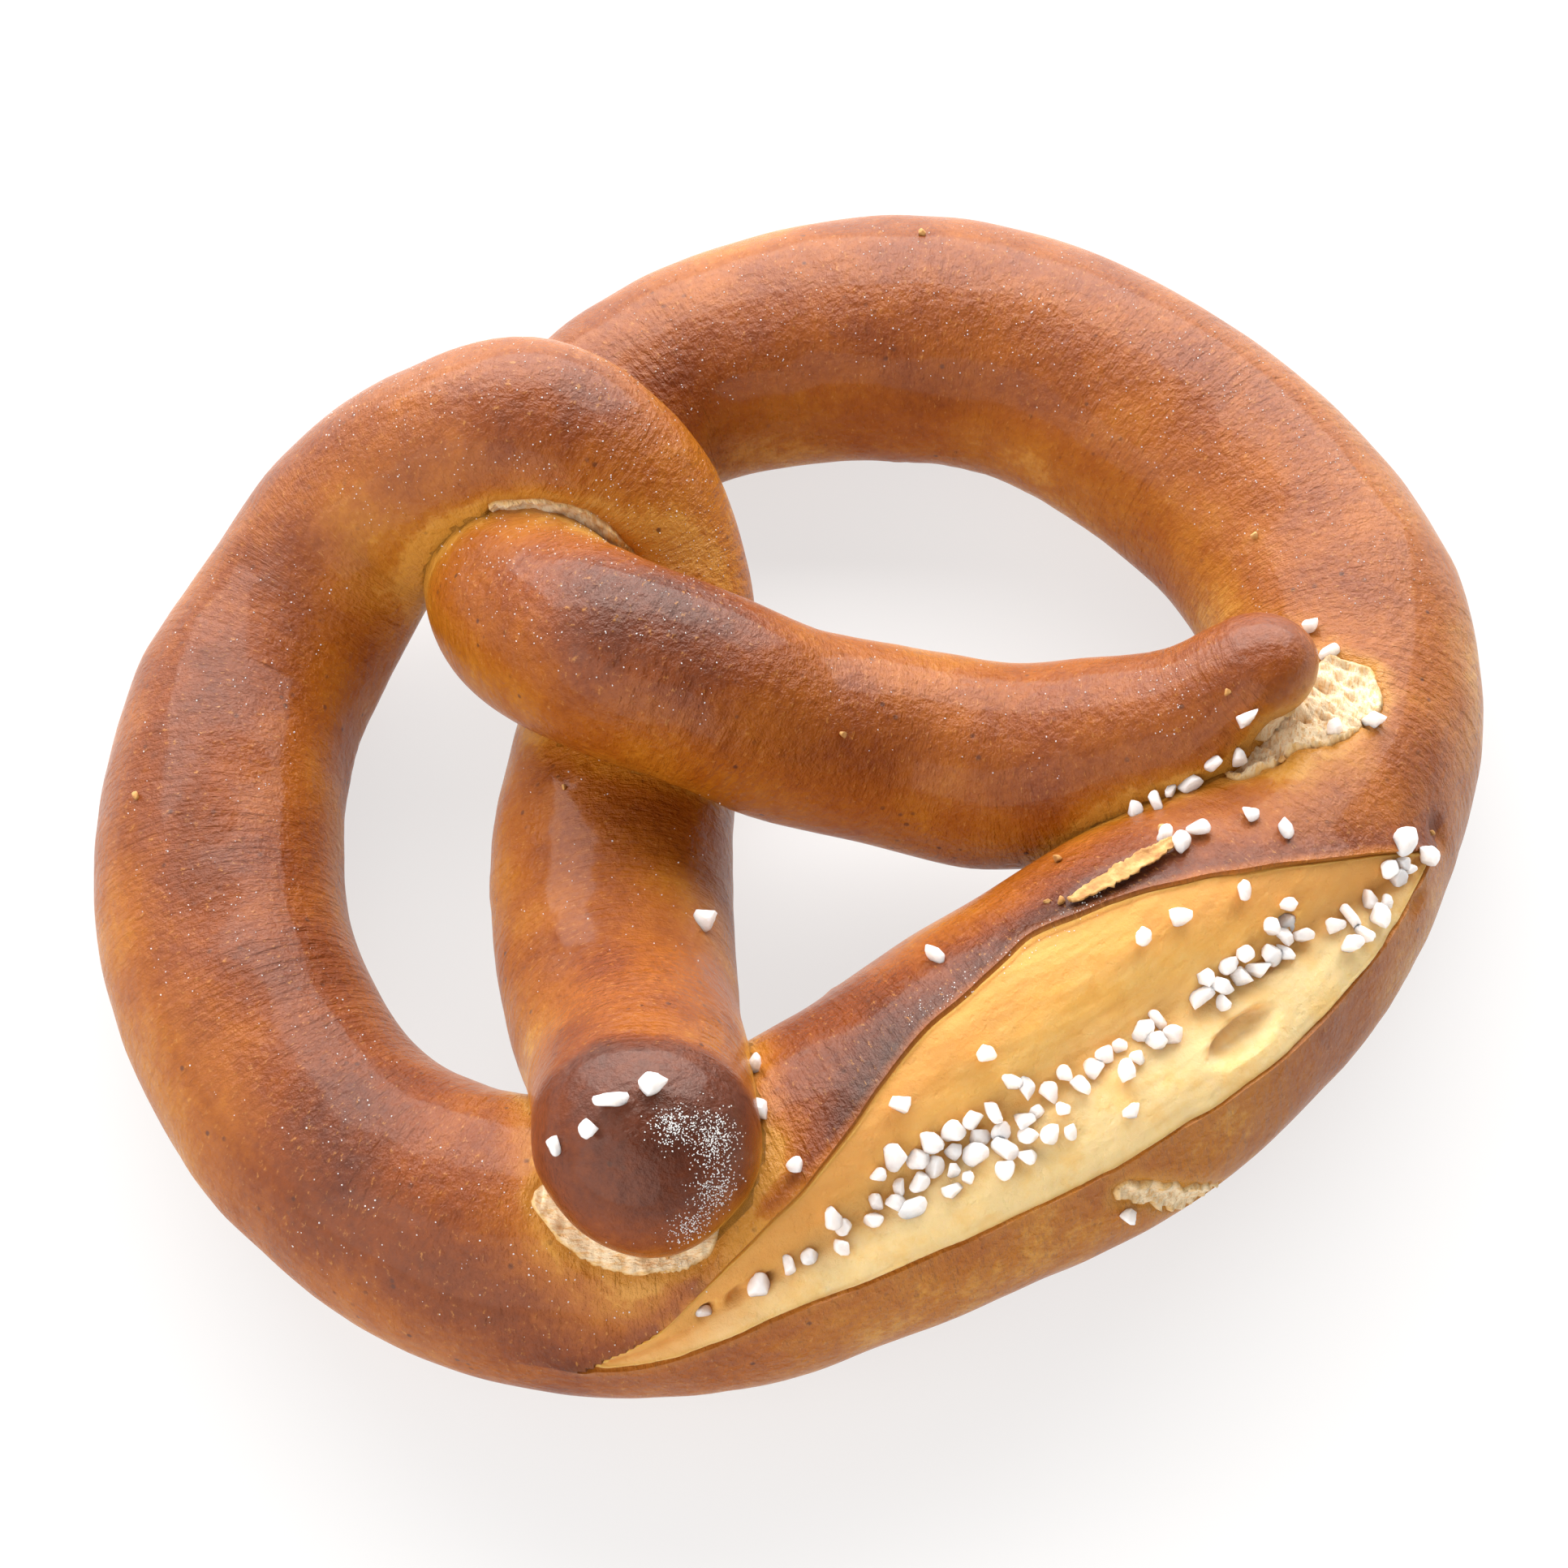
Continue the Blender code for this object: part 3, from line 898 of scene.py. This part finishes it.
def make_crumbs(trees):
    """Loose crumbs of crust, shaped like the grains."""
    dice = random.Random(5)
    mesh = bmesh.new()
    for place, angle, size in CRUMBS:
        hit = surface_point(trees, place, angle)
        grain_mesh(mesh, hit[0] + hit[1] * size * 0.25 * MM, random_turn(dice), size, dice)
    return piece_from(mesh, "loose_crumbs")


# ---- materials

# The crust's colours from palest to darkest, and the crumb's from golden to cream.
CRUST_STOPS = (
    (0.0, (0.56, 0.25, 0.035)),
    (0.10, (0.44, 0.150, 0.010)),
    (0.28, (0.34, 0.090, 0.005)),
    (0.52, (0.205, 0.041, 0.003)),
    (0.76, (0.105, 0.019, 0.004)),
    (1.0, (0.045, 0.010, 0.005)),
)
CRUMB_STOPS = (
    (0.0, (0.62, 0.22, 0.030)),
    (0.35, (0.82, 0.345, 0.055)),
    (0.65, (0.95, 0.440, 0.090)),
    (1.0, (0.98, 0.56, 0.19)),
)
SALT_STOPS = ((0.3, (0.86, 0.79, 0.74)), (0.7, (0.95, 0.90, 0.87)))
DUST_STOPS = ((0.3, (0.75, 0.72, 0.70)), (0.7, (0.9, 0.89, 0.88)))
FLAKE_STOPS = ((0.3, (0.34, 0.14, 0.030)), (0.5, (0.52, 0.26, 0.07)), (0.7, (0.70, 0.44, 0.17)))
FLOOR_STOPS = ((0.3, (0.20, 0.20, 0.20)), (0.7, (0.22, 0.22, 0.22)))

CRUST_SPECK = (0.07, 0.02, 0.01, 1.0)
CRUST_FLECK = (0.55, 0.24, 0.05, 1.0)
CRUST_EDGE = (0.50, 0.21, 0.030, 1.0)
CRUST_INSIDE = (0.62, 0.30, 0.06, 1.0)
CRUST_SHINE = (1.0, 0.80, 0.68, 1.0)
LOWER_WALL = (0.99, 0.62, 0.30, 1.0)
# Painted shade: ochre on the upper wall near its lip, and darker in the valley.
UPPER_WALL_SHADE = (0.70, 0.30, 0.068, 1.0)
VALLEY_SHADE = (0.50, 0.31, 0.12, 1.0)
WALL_RIM = (0.66, 0.30, 0.040, 1.0)
# Painted shade in the pores.
PORE_SHADE = (0.34, 0.19, 0.06, 1.0)
TORN_CREAM = (1.0, 0.80, 0.54, 1.0)
TORN_FIBRE = (0.90, 0.56, 0.25, 1.0)
TORN_EDGE = (0.70, 0.36, 0.060, 1.0)
# Painted shade in the torn crumb's hollows.
TORN_HOLLOW_SHADE = (0.52, 0.27, 0.07, 1.0)


def new_material(name):
    """A material, and the output in its tree that tells the place on the object."""
    material = bpy.data.materials.new(name)
    material.use_nodes = True
    return material, add_node("TexCoord", {}, "Object", material.node_tree)


def shaded(material, inputs):
    """The material with these inputs of its shader linked or set."""
    feed(material.node_tree.nodes["Principled BSDF"], inputs)
    return material


def is_output(value):
    return isinstance(value, bpy.types.NodeSocket)


def feed(node, inputs):
    """Links other nodes' outputs to a node's sockets, or sets plain values on them."""
    for key, value in inputs.items():
        if is_output(value):
            node.id_data.links.new(value, node.inputs[key])
        else:
            node.inputs[key].default_value = value


def add_node(kind, inputs, output=0, tree=None, **settings):
    """Adds a node to the tree of the nodes that feed it, and gives back one of its outputs."""
    if tree is None:
        tree = next(value.id_data for value in inputs.values() if is_output(value))
    node = tree.nodes.new("ShaderNode" + kind)
    for name, value in settings.items():
        setattr(node, name, value)
    feed(node, inputs)
    return node.outputs[output]


def fact(tree, name, output="Fac"):
    """What was stored for each vertex under this name."""
    return add_node("Attribute", {}, output, tree, attribute_name=name)


def math_node(operation, *values):
    return add_node("Math", dict(enumerate(values)), operation=operation)


def product(a, b):
    return math_node("MULTIPLY", a, b)


def varied(value, texture, amount):
    """The value, made higher and lower by up to half this amount by a texture."""
    change = math_node("MULTIPLY_ADD", texture, amount, -amount / 2)
    return math_node("ADD", value, change)


def band(value, low, high, to_low=0.0, to_high=1.0):
    """Maps a value smoothly from low..high to to_low..to_high."""
    inputs = dict(enumerate((value, low, high, to_low, to_high)))
    return add_node("MapRange", inputs, interpolation_type="SMOOTHSTEP")


def fact_band(tree, name, *limits):
    return band(fact(tree, name), *limits)


def noise_node(vector, scale, detail=3.0, roughness=0.5):
    inputs = {"Vector": vector, "Scale": scale, "Detail": detail, "Roughness": roughness}
    return add_node("TexNoise", inputs, "Fac")


def rope_noise(tree, along, around, detail, roughness):
    """Noise of different fineness along the rope and round it, per mm."""
    inputs = {0: fact(tree, "rope", "Vector"), 1: (along, around, 1.0)}
    stretched = add_node("VectorMath", inputs, operation="MULTIPLY")
    return noise_node(stretched, 1.0, detail, roughness)


def mixed(share, a, b):
    inputs = {"Factor": share, "A": a, "B": b}
    return add_node("Mix", inputs, "Result", data_type="RGBA")


def ramp(value, stops):
    node = value.id_data.nodes.new("ShaderNodeValToRGB")
    feed(node, {"Fac": value})
    elements = node.color_ramp.elements
    while len(elements) < len(stops):
        elements.new(0.5)
    for element, (position, colour) in zip(elements, stops):
        element.position = position
        element.color = (*colour, 1.0)
    return node.outputs["Color"]


def bump(height, distance, strength, under=None):
    """Bumps this high in metres, on top of those under them."""
    inputs = {"Height": height, "Distance": distance, "Strength": strength}
    if under is not None:
        inputs["Normal"] = under
    return add_node("Bump", inputs, "Normal")


def crust_tone(tree, point, blotches, streaks):
    """Where on the crust's scale of colours each point is."""
    # The stored darkness is browning and, on the left loop, painted shade.
    tone = varied(fact(tree, "bake_and_shade"), blotches, 0.5)
    tone = varied(tone, streaks, 0.10)
    tone = varied(tone, noise_node(point, 900.0, 3.0, 0.6), 0.30)
    return math_node("ADD", tone, fact_band(tree, "crease", 0.3, 4.5, -0.30, 0.0))


def crust_colour(tree, point, tone, streaks, fibres):
    """The baked colour, with dark specks, pale flecks and golden edges round the open parts."""
    colour = ramp(tone, CRUST_STOPS)
    cells = add_node("TexVoronoi", {"Vector": point, "Scale": 480.0}, "Distance")
    specks = band(cells, 0.08, 0.20, 0.8, 0.0)
    rare = band(noise_node(point, 160.0, 2.0), 0.5, 0.68)
    colour = mixed(product(specks, rare), colour, CRUST_SPECK)
    colour = mixed(band(fibres, 0.58, 0.74, 0.0, 0.6), colour, CRUST_FLECK)
    edge = varied(fact(tree, "open"), streaks, 1.2)
    upper = fact_band(tree, "upper_lip", -0.4, 0.2, 0.25, 0.1)
    torn = fact_band(tree, "torn", 0.0, 3.5, 1.0, 0.0)
    golden = math_node("MAXIMUM", upper, torn)
    golden = product(band(edge, 0.0, 1.5, 0.9, 0.0), golden)
    colour = mixed(golden, colour, CRUST_EDGE)
    return mixed(fact_band(tree, "open", -0.5, 0.0, 1.0, 0.0), colour, CRUST_INSIDE)


def crust_bumps(tree, point, fibres, body):
    """Wrinkles across the rope in patches, fibres, and a fine grain over all."""
    wrinkles = rope_noise(tree, 1.0, 0.13, 4.0, 0.55)
    patches = band(noise_node(point, 45.0, 2.0), 0.38, 0.62, 0.15, 1.0)
    wrinkles = product(wrinkles, product(patches, body))
    normal = bump(wrinkles, 0.0008, 0.7)
    normal = bump(fibres, 0.0004, 0.6, normal)
    return bump(noise_node(point, 800.0, 5.0, 0.65), 0.0005, 0.9, normal)


def crust_material():
    """Glazed crust: browned by the oven and darkened by painted shade on the left loop, finely
    wrinkled across the rope, flecked.
    """
    material, point = new_material("glazed_crust")
    tree = material.node_tree
    body = fact(tree, "body")
    gloss = fact(tree, "gloss")
    blotches = noise_node(point, 110.0, 5.0, 0.6)
    streaks = product(rope_noise(tree, 0.9, 0.16, 4.0, 0.6), body)
    fibres = product(rope_noise(tree, 1.9, 0.9, 3.0, 0.7), body)
    tone = crust_tone(tree, point, blotches, streaks)
    dull_inside = fact_band(tree, "open", -0.3, 0.2, 0.75, 0.0)
    roughness = math_node("MULTIPLY_ADD", blotches, 0.16, 0.14)
    return shaded(material, {
        "Base Color": crust_colour(tree, point, tone, streaks, fibres),
        "Roughness": math_node("MAXIMUM", roughness, dull_inside),
        "Specular IOR Level": math_node("MULTIPLY_ADD", gloss, 0.32, 0.06),
        "Specular Tint": CRUST_SHINE,
        "Coat Weight": product(gloss, 0.15),
        "Coat Roughness": 0.10,
        "Normal": crust_bumps(tree, point, fibres, body),
    })


def wall_colour(tree, patches, smooth_wall):
    """The split's walls: cream below, a darker rim, and painted shade: ochre on the upper wall near
    its lip, and darker in the valley, the low places and the pores.
    """
    streaks = rope_noise(tree, 0.18, 1.3, 4.0, 0.6)
    # Painted shade: the lower the crumb lies, the darker its tone.
    relief = fact_band(tree, "relief", -0.4, 1.4)
    tone = math_node("MULTIPLY_ADD", patches, 0.7, 0.02)
    tone = math_node("MULTIPLY_ADD", streaks, 0.35, tone)
    tone = math_node("MULTIPLY_ADD", relief, 0.35, math_node("SUBTRACT", tone, 0.12))
    pale = band(patches, 0.35, 0.6, 0.55, 1.0)
    rim = fact_band(tree, "open", -1.1, -0.1, 0.0, 0.8)
    pores = fact_band(tree, "relief", 0.55, 0.0, 0.0, 0.8)
    # Painted shade on the upper wall near its lip, in the valley and in the pores.
    layers = (
        (product(fact(tree, "lower_wall"), pale), LOWER_WALL),
        (fact_band(tree, "upper_lip", -11.0, -2.0, 0.0, 0.8), UPPER_WALL_SHADE),
        (fact_band(tree, "wall", 0.6, 1.0, 0.0, 0.40), VALLEY_SHADE),
        (product(rim, smooth_wall), WALL_RIM),
        (product(pores, fact_band(tree, "open", -1.6, -1.0, 1.0, 0.0)), PORE_SHADE),
    )
    colour = ramp(tone, CRUMB_STOPS)
    for share, layer in layers:
        colour = mixed(share, colour, layer)
    return colour


def torn_colour(tree, fibres):
    """Torn crumb: cream fibres, golden at the edge, and painted shade in the hollows."""
    colour = mixed(band(fibres, 0.56, 0.36), TORN_CREAM, TORN_FIBRE)
    colour = mixed(fact_band(tree, "open", -1.0, -0.1, 0.0, 0.75), colour, TORN_EDGE)
    # Painted shade where the torn crumb lies low.
    return mixed(fact_band(tree, "relief", 0.35, -0.25, 0.0, 0.75), colour, TORN_HOLLOW_SHADE)


def crumb_material():
    """Open crumb: the split's smooth walls, and fibres where the bread was torn."""
    material, point = new_material("cream_crumb")
    tree = material.node_tree
    patches = noise_node(point, 230.0, 5.0, 0.65)
    fibres = rope_noise(tree, 0.9, 2.4, 4.0, 0.7)
    torn = fact_band(tree, "torn", -0.3, 0.8, 1.0, 0.0)
    smooth_wall = math_node("SUBTRACT", 1.0, torn)
    wall = wall_colour(tree, patches, smooth_wall)
    pits = band(noise_node(point, 650.0, 4.0, 0.6), 0.30, 0.46)
    normal = bump(pits, 0.00015, 0.5)
    normal = bump(product(fibres, torn), 0.0006, 0.8, normal)
    return shaded(material, {
        "Base Color": mixed(torn, wall, torn_colour(tree, fibres)),
        "Roughness": 0.78,
        "Subsurface Weight": math_node("MULTIPLY_ADD", smooth_wall, 0.5, 0.1),
        "Subsurface Radius": (0.0040, 0.0026, 0.0014),
        "Subsurface Scale": 1.0,
        "Normal": bump(noise_node(point, 1500.0, 4.0, 0.7), 0.00025, 0.7, normal),
    })


def salt_material():
    """Coarse salt: milky and slightly translucent, with a worn gloss."""
    material, point = new_material("coarse_salt")
    cloud = noise_node(point, 700.0, 3.0)
    return shaded(material, {
        "Base Color": ramp(cloud, SALT_STOPS),
        "Roughness": band(cloud, 0.3, 0.7, 0.28, 0.5),
        "Subsurface Weight": 1.0,
        "Subsurface Radius": (0.0030, 0.0027, 0.0024),
        "Subsurface Scale": 1.0,
        "Coat Weight": 0.3,
        "Normal": bump(noise_node(point, 2200.0, 2.0), 0.00015, 0.6),
    })


def flake_material():
    """The flake and the loose crumbs: dry tan crust, mottled paler and darker."""
    material, point = new_material("tan_flake")
    return shaded(material, {
        "Base Color": ramp(noise_node(point, 600.0, 4.0, 0.6), FLAKE_STOPS),
        "Roughness": 0.7,
        "Normal": bump(noise_node(point, 1800.0, 3.0), 0.0002, 0.8),
    })


def dust_material():
    material, point = new_material("salt_dust_white")
    colour = ramp(noise_node(point, 900.0), DUST_STOPS)
    return shaded(material, {"Base Color": colour, "Roughness": 0.4})


def floor_material():
    """A pale floor that glows, so that it stays white right up to the bread."""
    material, point = new_material("pale_floor")
    return shaded(material, {
        "Base Color": ramp(noise_node(point, 3.0, 2.0), FLOOR_STOPS),
        "Roughness": 0.9,
        "Emission Color": (1.0, 0.99, 0.985, 1.0),
        "Emission Strength": FLOOR_GLOW,
    })


# ---- the studio

def view_direction(azimuth, elevation):
    """The direction from the object to someone who looks at it from there."""
    a = math.radians(azimuth)
    e = math.radians(elevation)
    return Vector((math.sin(a) * math.cos(e), -math.cos(a) * math.cos(e), math.sin(e)))


def aim(item, azimuth, elevation, distance):
    """Puts a camera or a light this far from the object, and turns it to the object."""
    back = view_direction(azimuth, elevation)
    item.location = Vector(LOOK_AT) + back * distance
    item.rotation_euler = back.to_track_quat("Z", "Y").to_euler()


def add_camera():
    data = bpy.data.cameras.new("camera")
    data.lens = LENS
    data.sensor_width = SENSOR_WIDTH
    data.clip_start = 0.01
    camera = linked("camera", data)
    aim(camera, AZIMUTH, ELEVATION, CAMERA_DISTANCE)
    bpy.context.scene.camera = camera


def add_softbox(name, turn, elevation, size, power, colour):
    data = bpy.data.lights.new(name, "AREA")
    data.shape = "RECTANGLE"
    data.size, data.size_y = size
    data.energy = power
    data.color = colour
    aim(linked(name, data), AZIMUTH + turn, elevation, SOFTBOX_DISTANCE)


def add_floor():
    mesh = bmesh.new()
    bmesh.ops.create_grid(mesh, x_segments=1, y_segments=1, size=FLOOR_SIZE / 2)
    floor = linked("floor", mesh_from(mesh, "floor"))
    floor.location.z = -FLOOR_DROP
    floor.data.materials.append(floor_material())


def add_studio():
    world = bpy.data.worlds.new("tent")
    world.use_nodes = True
    background = world.node_tree.nodes["Background"]
    feed(background, {"Color": WORLD_COLOUR, "Strength": WORLD_STRENGTH})
    bpy.context.scene.world = world
    for softbox in SOFTBOXES:
        add_softbox(*softbox)
    add_floor()
    bpy.context.scene.view_settings.view_transform = "Standard"


# ---- the pieces together

def tree_of(piece):
    """The piece's faces, for rays to hit."""
    mesh = bmesh.new()
    mesh.from_mesh(piece.data)
    tree = BVHTree.FromBMesh(mesh)
    mesh.free()
    return tree


def place_piece(piece, material):
    piece.data.materials.clear()
    piece.data.materials.append(material)
    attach(piece, "root")


def main():
    add_camera()
    bread, tube = make_bread()
    crumb = make_crumb(tube)
    trees = [tree_of(bread), tree_of(crumb)]
    salt = make_salt(trees)
    place_piece(bread, crust_material())
    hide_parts("pretzel")
    place_piece(crumb, crumb_material())
    place_piece(salt, salt_material())
    place_piece(make_dust(trees), dust_material())
    flake_look = flake_material()
    place_piece(make_flake(trees), flake_look)
    place_piece(make_crumbs(trees), flake_look)
    add_studio()


main()
